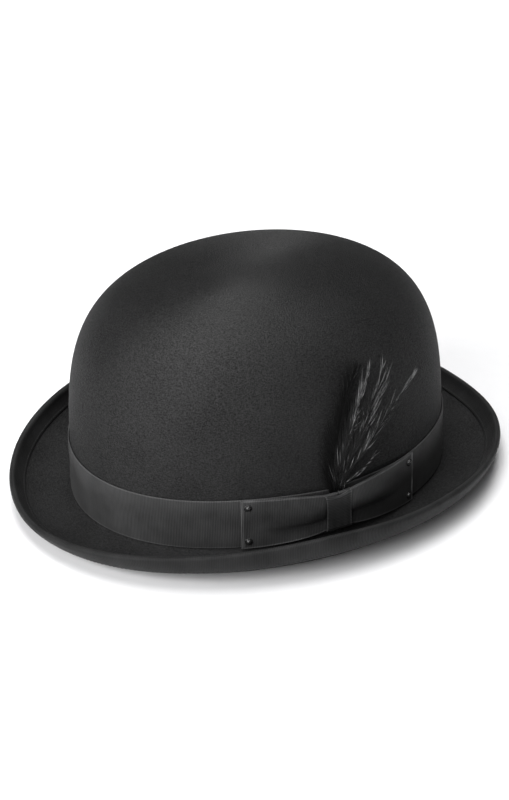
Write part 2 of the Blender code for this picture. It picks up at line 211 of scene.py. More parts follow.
def felt_finish():
    """Matted fur: fine crossing hairs that lie round the hat, a cloudy dyed colour, and a soft brushed sheen. The
    colour is also painted lighter low on the hat and darker on its top, as painted light.
    """
    material, tree, shader = finish(
        "black_felt", 0.56, IOR=1.25, Sheen_Weight=0.0, Anisotropic_Rotation=0.25
    )
    place = node(tree, "ShaderNodeTexCoord")
    hairs = node(tree, "ShaderNodeMapping", {0: place.outputs["UV"], "Scale": (500.0, 2600.0, 1.0)})
    lying = node(
        tree, "ShaderNodeTexNoise", {"Vector": hairs.outputs[0], "Scale": 1.0, "Detail": 3.0, "Distortion": 0.6}
    )
    speckle = node(tree, "ShaderNodeTexNoise", {"Vector": place.outputs["Object"], "Scale": 1300.0, "Detail": 4.0})
    clouds = node(tree, "ShaderNodeTexNoise", {"Vector": place.outputs["Object"], "Scale": 45.0, "Detail": 4.0})
    pile = maths(tree, "ADD", lying.outputs[0], maths(tree, "MULTIPLY", speckle.outputs[0], 1.4))
    shade = maths(tree, "ADD", pile, maths(tree, "MULTIPLY", clouds.outputs[0], 0.5))
    color = node(tree, "ShaderNodeValToRGB", {0: maths(tree, "MULTIPLY", shade, 0.345)})
    color.color_ramp.elements[0].position = 0.36
    color.color_ramp.elements[0].color = gray(0.005)
    color.color_ramp.elements[1].position = 0.64
    color.color_ramp.elements[1].color = gray(0.017)
    level = node(tree, "ShaderNodeSeparateXYZ", {0: place.outputs["Object"]}).outputs[2]
    # Painted light: the colour is scaled by height, lighter on the brim and the crown's lower walls and darker on its
    # top, to make up for the weaker reflection set lower down.
    painted_height_light = node(tree, "ShaderNodeMapRange", {0: level, 1: 0.04, 2: 0.11, 3: 1.6, 4: 0.9}).outputs[0]
    dye_and_painted_light = node(tree, "ShaderNodeVectorMath", {0: color.outputs[0], "Scale": painted_height_light}, operation="SCALE")
    tree.links.new(dye_and_painted_light.outputs[0], shader.inputs["Base Color"])
    pressed = node(tree, "ShaderNodeMapRange", {0: level, 1: 0.04, 2: 0.11, 3: 0.18, 4: 0.75}).outputs[0]
    lustre = node(tree, "ShaderNodeMapRange", {0: pile, 1: 0.85, 2: 1.55, 3: 0.45, 4: 1.55}).outputs[0]
    tree.links.new(maths(tree, "MULTIPLY", pressed, lustre), shader.inputs["Specular IOR Level"])
    bump = node(tree, "ShaderNodeBump", {"Height": pile, "Strength": 0.6, "Distance": 0.0004})
    tree.links.new(bump.outputs[0], shader.inputs["Normal"])
    flat = node(tree, "ShaderNodeVectorMath", {0: place.outputs["Object"], 1: (1.0, 1.0, 0.0)}, operation="MULTIPLY")
    from_pole = node(tree, "ShaderNodeVectorMath", {0: flat.outputs[0]}, operation="LENGTH").outputs["Value"]
    combed = node(tree, "ShaderNodeMapRange", {0: from_pole, 1: 0.0, 2: 0.028, 3: 0.3, 4: 0.92}).outputs[0]
    tree.links.new(combed, shader.inputs["Anisotropic"])
    tangent = node(tree, "ShaderNodeTangent", direction_type="RADIAL", axis="Z")
    tree.links.new(tangent.outputs[0], shader.inputs["Tangent"])
    return material


def crown_heights(count):
    """Heights that part the crown's profile into rows of even length."""
    turns = np.linspace(0.0, math.pi / 2.0, 4000)
    z = foot_height + crown_height * np.sin(turns) ** (2.0 / crown_side_power)
    across = wall(math.pi / 2.0, z, 0.0)[:, 1]
    length = np.concatenate([[0.0], np.hypot(np.diff(across), np.diff(z)).cumsum()])
    return np.interp(np.arange(count) * length[-1] / count, length, z)


around = turn(200)
rows = [brim(around, run) for run in np.linspace(brim_width, foot_fillet, 26)]
for row in rows:
    row[:, 2] = np.maximum(row[:, 2], felt)  # it is worn flat where it stands on the table
low, high = rows[-1], wall(around, foot(around) + foot_fillet, 0.0)
corner = np.stack([*outline(around), foot(around)], -1)
for share in (0.2, 0.4, 0.6, 0.8):
    rows.append((1 - share) ** 2 * low + 2 * share * (1 - share) * corner + share**2 * high)
rows += [wall(around, np.maximum(z, foot(around) + foot_fillet), 0.0) for z in crown_heights(64)]
hood = grid("felt_hood", rows, around=True, pole=(0.0, 0.0, foot_height + crown_height))
thicken(hood, felt)
hood.data.materials.append(felt_finish())
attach(hood, "hat")
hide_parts("felt_body")

# ---- Hat band ---------------------------------------------------------------------------------
# Black grosgrain ribbon, 28 mm wide, drawn tight round the foot of the crown and tacked by hand.
# Its two ends meet behind the bow. Fine ribs run across it, and each edge is a firm woven selvedge.

band_height = 0.028
band_joint = 0.0005


def grosgrain(name, color, width, rib=0.00085, roughness=0.5, painted_highlight_gain=1.7, fold=-1.0, painted_fold_light=0.0, bend=1.33):
    """Ribbed ribbon: ribs across it and a slight slub in each. Its edges and the fold at length fold are painted
    paler, as a painted highlight; a further factor paints the fold lighter, as a painted highlight, when positive and
    darker, as painted shade, when negative.
    """
    material, tree, shader = finish(name, roughness, IOR=bend, Sheen_Weight=0.02, Sheen_Roughness=0.4)
    place = node(tree, "ShaderNodeTexCoord")
    split = node(tree, "ShaderNodeSeparateXYZ", {0: place.outputs["UV"]})
    u, v = split.outputs[0], split.outputs[1]
    stretch = node(tree, "ShaderNodeMapping", {0: place.outputs["UV"], "Scale": (1.0 / rib, 60.0, 1.0)})
    slub = node(tree, "ShaderNodeTexNoise", {"Vector": stretch.outputs[0], "Scale": 1.0, "Detail": 3.0})
    cloud = node(tree, "ShaderNodeTexNoise", {"Vector": place.outputs["Object"], "Scale": 60.0, "Detail": 2.0})
    ribs = maths(tree, "SINE", maths(tree, "MULTIPLY", u, 2.0 * math.pi / rib))
    picks = maths(tree, "SINE", maths(tree, "MULTIPLY", v, 2.0 * math.pi / 0.0004))
    height = maths(tree, "ADD", maths(tree, "MULTIPLY", ribs, 0.5), maths(tree, "MULTIPLY", picks, 0.12))
    height = maths(tree, "ADD", height, maths(tree, "MULTIPLY", slub.outputs[0], 0.7))
    edge = maths(tree, "MINIMUM", v, maths(tree, "SUBTRACT", width, v))
    fold_distance = maths(tree, "ABSOLUTE", maths(tree, "SUBTRACT", u, fold))
    # Painted highlight: near the edges and the fold the colour is multiplied by a gain, painted paler where light
    # catches them.
    painted_highlight_mask = maths(tree, "LESS_THAN", maths(tree, "MINIMUM", edge, fold_distance), 0.00065)
    level = maths(tree, "ADD", maths(tree, "MULTIPLY", height, 0.28), maths(tree, "MULTIPLY", cloud.outputs[0], 0.5))
    level = maths(tree, "MULTIPLY", level, maths(tree, "ADD", 1.0, maths(tree, "MULTIPLY", painted_highlight_mask, painted_highlight_gain - 1.0)))
    # Painted light at the fold: its colour is scaled again, lighter for a positive factor and darker for a negative
    # one.
    painted_fold_mask = maths(tree, "LESS_THAN", fold_distance, 0.0005)
    level = maths(tree, "MULTIPLY", level, maths(tree, "ADD", 1.0, maths(tree, "MULTIPLY", painted_fold_mask, painted_fold_light)))
    shade = node(tree, "ShaderNodeVectorMath", {0: gray(color * 2.2)[:3], "Scale": level}, operation="SCALE")
    tree.links.new(shade.outputs[0], shader.inputs["Base Color"])
    bump = node(tree, "ShaderNodeBump", {"Height": height, "Strength": 0.6, "Distance": 0.00015})
    tree.links.new(bump.outputs[0], shader.inputs["Normal"])
    return material


def ribbon_shares(count):
    """Places across a ribbon, close together at its edges, where the woven edge stands a little proud."""
    return 0.5 - 0.5 * np.cos(np.linspace(0.0, math.pi, count))


turned = math.asin(band_joint / 2.0 / half_width)
lengthwise = np.linspace(turned, 2.0 * math.pi - turned, 400)
behind_bow = np.abs(((lengthwise + math.pi) % (2.0 * math.pi) - math.pi) * 0.0876 + 0.0044)
drawn_in = 0.0029 * np.clip(1.0 - behind_bow / 0.05, 0.0, 1.0) ** 2 + 0.0016 * np.exp(-(((behind_bow - 0.036) / 0.02) ** 2)) * (np.sin(lengthwise) > 0.0)
rows = []
for share in ribbon_shares(18):
    proud = 0.00006 * math.exp(-((min(share, 1.0 - share) / 0.02) ** 2))
    drift = 0.00012 * np.sin(3.0 * math.pi * share + 0.5 * np.sin(3.0 * lengthwise))
    z = foot(lengthwise) + band_lift + (band_height - drawn_in) * share
    rows.append(wall(lengthwise, z, clearance + ribbon + proud + drift))
band = grid("grosgrain_band", rows)
thicken(band, ribbon)
band.data.materials.append(grosgrain("band_grosgrain", 0.039, band["across"]))
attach(band, "hat")
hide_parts("hat_band")

# ---- Brim binding -----------------------------------------------------------------------------
# A second grosgrain ribbon, folded over the rim so that it hides the felt's cut edge, above and below.
# One row of lock stitches goes through both layers and the felt, near the ribbon's inner edges.

binding_width = 0.0085
binding_off = clearance + ribbon / 2.0
around = turn(320)
bend = felt / 2.0 + binding_off
inner = brim_width - binding_width
snug = binding_off - 0.00022 * np.exp(-np.linspace(0.0, 4.0, 12))  # the stitches draw its edges down
path = [(run, off) for run, off in zip(np.linspace(inner, brim_width, 12), snug)]
for angle in np.radians(np.linspace(72.0, -72.0, 7)):
    path.append((brim_width + bend * math.cos(angle), bend * math.sin(angle) - felt / 2.0))
path += [(run, -felt - off) for run, off in zip(np.linspace(brim_width, inner, 12), snug[::-1])]
binding = grid("rim_binding", [brim(around, run, lift) for run, lift in reversed(path)], around=True)
thicken(binding, 0.0004, centred=True)
binding.data.materials.append(grosgrain("binding_grosgrain", 0.018, binding["across"], painted_highlight_gain=1.0, bend=1.2))
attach(binding, "hat")
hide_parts("brim_binding")


def stitch_row(name, line, length, radius, lift, material):
    """Short threads end to end along a closed line of (point, outward normal), each sunk at its ends."""
    points, faces = [], []
    sides = 6
    for middle, direction, normal in line:
        direction = direction / np.linalg.norm(direction)
        normal = normal - direction * normal.dot(direction)
        normal /= np.linalg.norm(normal)
        across = np.cross(direction, normal)
        for step in np.linspace(-1.0, 1.0, 7):
            rise = lift * (1.0 - step**4) - radius
            size = radius * math.sqrt(max(1.0 - step**6, 0.05))
            for k in range(sides):
                angle = 2.0 * math.pi * k / sides
                ring = size * (math.cos(angle) * across + math.sin(angle) * normal)
                points.append(middle + direction * step * length / 2.0 + normal * rise + ring)
        first = len(points) - 7 * sides
        for ring in range(6):
            for k in range(sides):
                a = first + ring * sides
                b = (k + 1) % sides
                faces.append([a + k, a + b, a + sides + b, a + sides + k][::-1])
        faces.append([first + k for k in range(sides)])
        faces.append([first + 6 * sides + k for k in range(sides)][::-1])
    mesh = bpy.data.meshes.new(name)
    mesh.from_pydata([p.tolist() for p in points], [], faces)
    mesh.shade_smooth()
    mesh.materials.append(material)
    obj = bpy.data.objects.new(name, mesh)
    bpy.context.scene.collection.objects.link(obj)
    return obj


def thread_finish(name, color):
    """Twisted cotton: fine slanting plies."""
    material, tree, shader = finish(name, 0.6, IOR=1.3, Sheen_Weight=0.03, Sheen_Roughness=0.4)
    place = node(tree, "ShaderNodeTexCoord")
    plies = node(
        tree,
        "ShaderNodeTexWave",
        {"Vector": place.outputs["Object"], "Scale": 700.0, "Distortion": 1.0},
        bands_direction="DIAGONAL",
    )
    color_of = node(tree, "ShaderNodeValToRGB", {0: plies.outputs[1]})
    color_of.color_ramp.elements[0].color = gray(color * 0.6)
    color_of.color_ramp.elements[1].color = gray(color * 1.5)
    tree.links.new(color_of.outputs[0], shader.inputs["Base Color"])
    bump = node(tree, "ShaderNodeBump", {"Height": plies.outputs[1], "Strength": 0.5, "Distance": 0.0001})
    tree.links.new(bump.outputs[0], shader.inputs["Normal"])
    return material


def stations(points, spacing):
    """Middles and directions at an even spacing along a closed line of points."""
    closed = np.concatenate([points, points[:1]])
    length = np.concatenate([[0.0], np.linalg.norm(np.diff(closed, axis=0), axis=1).cumsum()])
    at = np.arange(round(length[-1] / spacing)) * length[-1] / round(length[-1] / spacing)
    place = np.stack([np.interp(at, length, closed[:, k]) for k in range(3)], -1)
    ahead = np.stack([np.interp((at + 1e-4) % length[-1], length, closed[:, k]) for k in range(3)], -1)
    return place, ahead - place


sewing_thread = thread_finish("sewing_thread", 0.022)
for name, lift, toward in (("binding_stitches_below", -felt - clearance - 0.0004, -0.001),
                           ("binding_stitches_above", clearance + 0.0004, 0.001)):
    fine = turn(1600)
    seam = brim(fine, inner + 0.0012, lift)
    normals = brim(fine, inner + 0.0012, lift + toward) - seam
    places, directions = stations(seam, 0.0024)
    nearest = [int(np.argmin(((seam - p) ** 2).sum(1))) for p in places]
    line = [(p, d, normals[n]) for p, d, n in zip(places, directions, nearest)]
    stitches = stitch_row(name, line, 0.0017, 0.00014, 0.00012, sewing_thread)
    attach(stitches, "hat")

# ---- Bow wings --------------------------------------------------------------------------------
# The flat pressed bow is made of the band's ribbon. Each wing runs out from the knot along the band, folds back
# and returns in front. It is pleated once lengthwise at the knot, so its upper half rolls over the lower one.

bow_centre = -0.0044
knot_width = 0.0136
knot_high = 0.001
gathered_height = 0.0204
quill = 0.0009
layer = ribbon + clearance
knot_back = 0.00355
knot_front = knot_back + 3.0 * layer + 0.0003
fine = np.linspace(-math.pi, math.pi, 8001)
outline_points = np.stack(outline(fine), -1)
outline_length = np.concatenate([[0.0], np.linalg.norm(np.diff(outline_points, axis=0), axis=1).cumsum()])
outline_length -= outline_length[4000]


def theta_at(arc):
    """The outline's angle this far round from the middle of the left side; + is towards the back."""
    return np.interp(arc, outline_length, fine)


knot_middle = foot(theta_at(bow_centre)) + band_lift + band_height / 2.0 + knot_high


def wing_edges(theta, reach, length, drop):
    """Lower and upper edge of a wing at this distance from the bow's middle."""
    spread = np.clip((reach - knot_width / 2.0) / (length - knot_width / 2.0), 0.0, 1.0)
    bottom = foot(theta) + band_lift - drop * spread
    low = bottom + (knot_middle - gathered_height / 2.0 - bottom) * (1.0 - spread) ** 2
    top = bottom + band_height
    return low, top + (knot_middle + gathered_height / 2.0 - top) * (1.0 - spread) ** 3


def wing_out(reach, length):
    """How far a wing's back layer stands out from the crown."""
    flat = 2.0 * clearance + 1.5 * ribbon
    lifted = knot_back + layer + 0.0001
    edge = knot_width / 2.0 + 0.002
    return lifted + (flat - lifted) * smooth((reach - edge) / (length - edge))


def pleat(reach, share, crease, depth):
    """How far the front layer swells: a roll above the crease, and a shallow hollow under it."""
    open_share = smooth((reach - knot_width / 2.0 + 0.002) / 0.004) * smooth((0.046 - reach) / 0.03)
    above = np.clip((share - crease) / (1.0 - crease), 0.0, 1.0)
    below = np.clip((crease - share) / crease, 0.0, 1.0)
    roll = np.sin(math.pi * above**0.62) * smooth(above / 0.06) * depth
    hollow = -0.00045 * np.sin(math.pi * np.clip(below, 0.0, 1.0) ** 0.6)
    return open_share * (roll + hollow)


def make_wing(name, side, length, drop, crease, depth):
    bend = layer / 2.0
    reach = [np.linspace(0.0002, length - bend, 40)]
    level = [np.zeros(40)]
    angle = np.radians(np.linspace(-75.0, 75.0, 7))
    reach.append(length - bend + bend * np.cos(angle))
    level.append(bend + bend * np.sin(angle))
    reach.append(np.linspace(length - bend, 0.0002, 110))
    level.append(np.full(110, layer))
    reach, level = np.concatenate(reach), np.concatenate(level)
    theta = theta_at(bow_centre + side * reach)
    low, high = wing_edges(theta, reach, length, drop)
    front = (level >= layer).astype(float)
    rows = []
    for share in ribbon_shares(44):
        swell = front * pleat(reach, share, crease, depth)
        wave = front * 0.00015 * np.sin(9.0 * share + reach * 160.0)
        rows.append(wall(theta, low + (high - low) * share, wing_out(reach, length) + level + swell + wave))
    wing = grid(name, rows, flip=side > 0)
    returning = np.linalg.norm(np.diff(rows[len(rows) // 2], axis=0), axis=1).cumsum()
    wing["fold"] = float(returning[46])  # where the front layer leaves the fold
    thicken(wing, ribbon * 0.9, centred=True)
    return wing


# The last column paints the fold: a little darker on the front wing, as painted shade, and much lighter on the back
# wing, as a painted highlight.
for name, cad_node, side, length, drop, crease, depth, painted_fold_light in (
    ("bow_front_wing", "bow_wing_front", -1.0, 0.0492, 0.0, 0.34, 0.0014, -0.25),
    ("bow_back_wing", "bow_wing_rear", 1.0, 0.0525, 0.0012, 0.38, 0.0018, 0.9),
):
    wing = make_wing(name, side, length, drop, crease, depth)
    across = wing["across"]
    wing.data.materials.append(grosgrain(f"{name}_grosgrain", 0.034, across, roughness=0.45, painted_highlight_gain=2.4, fold=wing["fold"] + 0.0002, painted_fold_light=painted_fold_light))
    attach(wing, "hat")
    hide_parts(cad_node)

# ---- Bow knot ---------------------------------------------------------------------------------
# A short length of the same ribbon, wrapped round the two wings and sewn to itself behind them.
# It is drawn in at its middle, so its corners flare and soft folds run up it.

half = gathered_height / 2.0 + 0.0004 + ribbon / 2.0
corner = 0.0007
upright = np.linspace(-half + corner, half - corner, 15)
front_out = knot_front + 0.0002
loop = [(front_out, up) for up in upright]
loop += [(front_out - corner, half), (knot_back + corner, half)]
loop += [(knot_back, up) for up in upright[::-1]]
loop += [(knot_back + corner, -half), (front_out - corner, -half)]
loop = np.array(loop)
rows = []
for share in ribbon_shares(22):
    height = loop[:, 1] / half
    pinch = 0.96 + 0.05 * np.clip(height, 0.0, 1.0) ** 2 + 0.02 * np.clip(-height, 0.0, 1.0) ** 2
    flare = -0.0007 * np.clip(height - 0.4, 0.0, 1.0) ** 1.5 * (1.0 - share)
    along = knot_width * (share - 0.5) * pinch + flare
    fold = (loop[:, 0] > knot_front - 0.0001) * 0.00009 * math.cos(7.0 * math.pi * (share - 0.5)) * (0.4 + np.abs(height))
    sag = 0.0016 * math.sin(math.pi * min(share * 1.15, 1.0)) + 0.0004 + 0.0008 * (1.0 - share)
    roof = -sag * np.clip(height, 0.0, 1.0) ** 3
    rows.append(wall(theta_at(bow_centre + along), knot_middle + loop[:, 1] + roof, loop[:, 0] + fold))
knot = grid("bow_wrap", rows, around=True, flip=True)
thicken(knot, ribbon * 0.9, centred=True)
knot.data.materials.append(grosgrain("knot_grosgrain", 0.030, knot["across"], rib=0.0009, painted_highlight_gain=2.0))
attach(knot, "hat")
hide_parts("bow_knot")

# ---- Bow studs --------------------------------------------------------------------------------
# Four small domed studs, black-lacquered metal, set through the outer corners of the wings.
# Each has a narrow flat flange round a polished dome.


def stud_finish():
    material, tree, shader = finish("stud_lacquer", 0.22, Metallic=0.7, Coat_Weight=0.3, Coat_Roughness=0.1)
    place = node(tree, "ShaderNodeTexCoord")
    wear = node(tree, "ShaderNodeTexNoise", {"Vector": place.outputs["Object"], "Scale": 900.0, "Detail": 4.0})
    color = node(tree, "ShaderNodeValToRGB", {0: wear.outputs[0]})
    color.color_ramp.elements[0].color = gray(0.015)
    color.color_ramp.elements[1].color = gray(0.06)
    tree.links.new(color.outputs[0], shader.inputs["Base Color"])
    rough = node(tree, "ShaderNodeMapRange", {0: wear.outputs[0], 3: 0.14, 4: 0.36})
    tree.links.new(rough.outputs[0], shader.inputs["Roughness"])
    return material


stud_lacquer = stud_finish()
stud_radius = 0.002
profile = [(0.0, 0.0), (1.0, 0.0), (1.03, 0.07), (0.99, 0.14), (0.86, 0.16), (0.72, 0.08)]
profile += [(0.66 * math.cos(a), 0.1 + 0.56 * math.sin(a)) for a in np.linspace(0.12, math.pi / 2.0, 9)]
spin = turn(28)
for number in range(1, 5):
    low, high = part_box(f"bow_stud_{number}")
    middle = (low + high) / 2.0
    theta = math.atan2(middle.y / half_length**2, middle.x / half_width**2)
    out = Vector((math.cos(theta), math.sin(theta), 0.0))
    seat = middle - out * 0.0007
    rows = [
        [(stud_radius * r * math.cos(t), stud_radius * r * math.sin(t), stud_radius * h) for t in spin]
        for r, h in profile[1:-1]
    ]
    stud = grid(f"stud_{number}", rows, around=True, pole=(0.0, 0.0, stud_radius * profile[-1][1]))
    stud.data.transform(Vector((0.0, 0.0, 1.0)).rotation_difference(out).to_matrix().to_4x4())
    stud.data.transform(Matrix.Translation(seat))
    stud.data.materials.append(stud_lacquer)
    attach(stud, "hat")
    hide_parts(f"bow_stud_{number}")

# ---- Feathers ---------------------------------------------------------------------------------
# Five small cock feathers. Their stripped quills stand side by side behind the knot, and their vanes fan out
# against the crown: a bushy dark hackle in front, three narrow feathers with glossy barbs, some painted light as
# painted highlights, and a short one.

quill_pitch = 0.0015
quill_shift = 0.002
quill_out = 0.00205
quill_root = knot_middle - gathered_height / 2.0 + 0.003
knot_top = knot_middle + gathered_height / 2.0 + 0.002
rng = np.random.default_rng(7)


def spine_at(slot, bend, tip, lift, share):
    """Where the shaft is, as (along the outline, height, out), from its root at share -0.3 to its tip at 1."""
    arc = bow_centre + quill_shift + (slot - 2.0) * quill_pitch
    share = np.asarray(share, float)
    up = np.clip(share, 0.0, 1.0)
    start = np.array([arc, knot_top])
    bend, tip = (np.array([p[0], p[1] + foot_height]) for p in (bend, tip))
    flat = (1 - up)[..., None] ** 2 * start + (2 * up * (1 - up))[..., None] * bend + up[..., None] ** 2 * tip
    down = np.clip(-share / 0.3, 0.0, 1.0)
    height = flat[..., 1] + (quill_root - knot_top) * down
    out = quill_out + (lift - quill_out) * smooth(up / 0.35)
    return np.stack([flat[..., 0], height, out], -1)


def to_hat(spots):
    """Points of (along the outline, height, out) in the hat's own axes."""
    return wall(theta_at(spots[..., 0]), spots[..., 1], spots[..., 2])


def feather_finish(name, dark, painted_glint, gloss, bend):
    """Barbs. u is a barb's tone: dark ones differ at random, and light ones are painted highlights standing in for
    glints. v runs from its root to its tip, and the colour is painted lightest at each barb's middle.
    """
    material, tree, shader = finish(name, gloss, IOR=bend)
    place = node(tree, "ShaderNodeTexCoord")
    split = node(tree, "ShaderNodeSeparateXYZ", {0: place.outputs["UV"]})
    mottle = node(tree, "ShaderNodeTexNoise", {"Vector": place.outputs["Object"], "Scale": 500.0, "Detail": 3.0})
    tone = maths(tree, "MULTIPLY", split.outputs[0], maths(tree, "MULTIPLY", mottle.outputs[0], 1.8))
    # Painted highlight: each barb is painted lightest at its middle and darkest at its root and tip.
    middle = maths(tree, "SINE", maths(tree, "MULTIPLY", split.outputs[1], math.pi))
    ramp = node(tree, "ShaderNodeValToRGB", {0: maths(tree, "MULTIPLY", tone, middle)})
    ramp.color_ramp.elements[0].position = 0.15
    ramp.color_ramp.elements[0].color = gray(dark)
    ramp.color_ramp.elements[1].position = 0.95
    ramp.color_ramp.elements[1].color = gray(painted_glint)
    tree.links.new(ramp.outputs[0], shader.inputs["Base Color"])
    barbules = node(tree, "ShaderNodeTexWave", {"Vector": place.outputs["Object"], "Scale": 900.0, "Distortion": 2.0})
    bump = node(tree, "ShaderNodeBump", {"Height": barbules.outputs[1], "Strength": 0.3, "Distance": 0.0001})
    tree.links.new(bump.outputs[0], shader.inputs["Normal"])
    return material


def make_vane(name, slot, shape, tufts):
    """Barbs in tufts along the shaft: narrow tapered strips that curve in towards the feather's tip.

    Each tuft is (side, first and last share of the shaft, count, angle, length in mm, share of light ones, whose
    lightness is a painted highlight).
    """
    points, faces, uvs = [], [], []
    steps = 7
    for side, first, last, count, angle, length, painted_glint in tufts:
        for k in range(count):
            share = first + (last - first) * (k + rng.random()) / count
            root, ahead = spine_at(slot, *shape, np.array([share, share + 0.01]))
            heading = (ahead - root)[:2] / np.linalg.norm((ahead - root)[:2])
            across = np.array([heading[1], -heading[0]]) * side
            left_over = (1.03 - share) * 0.07 + 0.0012
            reach = min(length * 0.001 * (0.5 + 0.65 * rng.random()), left_over)
            opening = math.radians(angle) * (0.6 + 0.8 * rng.random())
            curl = 0.2 + 0.7 * rng.random()
            raise_by = 0.0005 + 0.0012 * rng.random()
            tilt = rng.normal(0.0, 0.45)
            wide = 0.00012 * (0.8 + 0.6 * rng.random())
            # Most barbs get a dark tone at random; the rest get a light one, a painted highlight standing in for
            # glints.
            tone = 0.55 + 0.45 * rng.random() if rng.random() < painted_glint else 0.12 * rng.random()
            line = []
            spot = root[:2].copy()
            for s in range(steps):
                t = s / (steps - 1)
                line.append([*spot, root[2] + raise_by * t * (1.6 - t)])
                now = opening * (1.0 - curl * t)
                spot = spot + (heading * math.cos(now) + across * math.sin(now)) * reach / (steps - 1)
            line = to_hat(np.array(line))
            away = wall(theta_at(root[0]), root[1], root[2] + 0.001) - wall(theta_at(root[0]), root[1], root[2])
            away /= np.linalg.norm(away)
            base = len(points)
            for s in range(steps):
                go = line[min(s + 1, steps - 1)] - line[max(s - 1, 0)]
                go /= np.linalg.norm(go)
                flat = np.cross(go, away)
                flat /= np.linalg.norm(flat)
                flat = flat * math.cos(tilt) + away * math.sin(tilt)
                size = wide * (1.0 - 0.8 * (s / (steps - 1)) ** 2)
                points += [line[s] - flat * size, line[s] + flat * size]
            for s in range(steps - 1):
                a = base + 2 * s
                faces.append([a, a + 1, a + 3, a + 2])
                here, there = s / (steps - 1), (s + 1) / (steps - 1)
                uvs += [(tone, here), (tone, here), (tone, there), (tone, there)]
    mesh = bpy.data.meshes.new(name)
    mesh.from_pydata([p.tolist() for p in points], [], faces)
    mesh.uv_layers.new(name="tone").data.foreach_set("uv", np.array(uvs, np.float32).ravel())
    mesh.shade_smooth()
    obj = bpy.data.objects.new(name, mesh)
    bpy.context.scene.collection.objects.link(obj)
    thicken(obj, 0.00005, centred=True)
    return obj


def make_shaft(name, slot, shape, material):
    """The quill and shaft: a tube that tapers to the feather's tip."""
    shares = np.linspace(-0.3, 1.0, 40)
    line = to_hat(spine_at(slot, *shape, shares))
    curve = bpy.data.curves.new(name, "CURVE")
    curve.dimensions = "3D"
    curve.bevel_depth = 0.00045
    curve.bevel_resolution = 2
    curve.use_fill_caps = True
    spline = curve.splines.new("POLY")
    spline.points.add(len(line) - 1)
    for spot, point, share in zip(line, spline.points, shares):
        point.co = (*spot, 1.0)
        point.radius = 1.0 - 0.88 * smooth((share + 0.05) * 1.6) ** 0.5 if share > -0.05 else 1.0
    curve.materials.append(material)
    obj = bpy.data.objects.new(name, curve)
    bpy.context.scene.collection.objects.link(obj)
    return obj


# The third value is the colour of the light barbs, a painted highlight.
hackle = feather_finish("hackle_barbs", 0.0032, 0.045, 0.75, 1.22)
glossy = feather_finish("glossy_barbs", 0.003, 0.28, 0.4, 1.35)
shaft_horn = feather_finish("shaft_horn", 0.003, 0.01, 0.45, 1.3)
feathers = (
    ("feather_plume", (-0.006, 0.078), (0.014, 0.091), 0.0034, hackle, (
        (-1.0, -0.1, 0.3, 240, 26.0, 17.0, 0.0), (-1.0, 0.3, 0.8, 180, 20.0, 13.0, 0.02),
        (-1.0, 0.8, 0.99, 60, 14.0, 10.0, 0.05), (1.0, -0.1, 0.5, 300, 20.0, 17.0, 0.01),
        (1.0, 0.5, 0.99, 150, 13.0, 10.0, 0.05), (-1.0, 0.72, 0.86, 5, 16.0, 11.0, 1.0))),
    ("feather_left", (-0.0005, 0.070), (0.0227, 0.092), 0.0052, glossy, (
        (-1.0, -0.1, 0.5, 170, 15.0, 16.0, 0.02), (1.0, -0.1, 0.5, 170, 15.0, 16.0, 0.03),
        (-1.0, 0.38, 0.72, 46, 10.0, 16.0, 0.5), (-1.0, 0.6, 0.97, 40, 7.0, 10.0, 0.6),
        (1.0, 0.42, 0.97, 50, 7.0, 9.0, 0.5), (1.0, 0.44, 0.6, 30, 38.0, 9.0, 0.45))),
    ("feather_middle", (0.0072, 0.0693), (0.0318, 0.092), 0.0068, glossy, (
        (-1.0, -0.1, 0.55, 170, 15.0, 16.0, 0.03), (1.0, -0.1, 0.5, 150, 15.0, 15.0, 0.04),
        (1.0, 0.4, 0.8, 90, 22.0, 19.0, 0.5), (-1.0, 0.45, 0.85, 50, 9.0, 13.0, 0.4),
        (-1.0, 0.85, 0.97, 16, 6.0, 6.0, 0.1), (1.0, 0.75, 0.97, 16, 7.0, 6.0, 0.1),
        (-1.0, 0.4, 0.52, 24, 30.0, 8.0, 0.5))),
    ("feather_right", (0.0103, 0.0658), (0.048, 0.0805), 0.0084, glossy, (
        (-1.0, -0.1, 0.6, 170, 13.0, 15.0, 0.04), (-1.0, 0.28, 0.6, 50, 12.0, 17.0, 0.6),
        (1.0, 0.0, 0.62, 110, 18.0, 12.0, 0.08), (-1.0, 0.8, 0.99, 34, 9.0, 8.0, 0.85),
        (1.0, 0.82, 0.99, 30, 9.0, 7.0, 0.9), (-1.0, 0.6, 0.86, 24, 6.0, 7.0, 0.1),
        (1.0, 0.6, 0.86, 16, 6.0, 7.0, 0.1))),
    ("feather_short", (0.008, 0.038), (0.017, 0.045), 0.0040, glossy, (
        (-1.0, -0.2, 0.97, 50, 12.0, 6.0, 0.15), (1.0, -0.2, 0.97, 50, 14.0, 6.0, 0.15))),
)
for slot, (name, bend, tip, lift, barbs, tufts) in enumerate(feathers):
    vane = make_vane(f"{name}_vane", slot, (bend, tip, lift), tufts)
    vane.data.materials.append(barbs)
    shaft = make_shaft(f"{name}_shaft", slot, (bend, tip, lift), shaft_horn)
    for piece in (vane, shaft):
        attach(piece, "feather_spray")
    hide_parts(name)

# ---- Feather whipping -------------------------------------------------------------------------
# Black thread, wound round the five quills where the knot hides them, holds the spray together.
# It is one thread: its turns lie side by side.

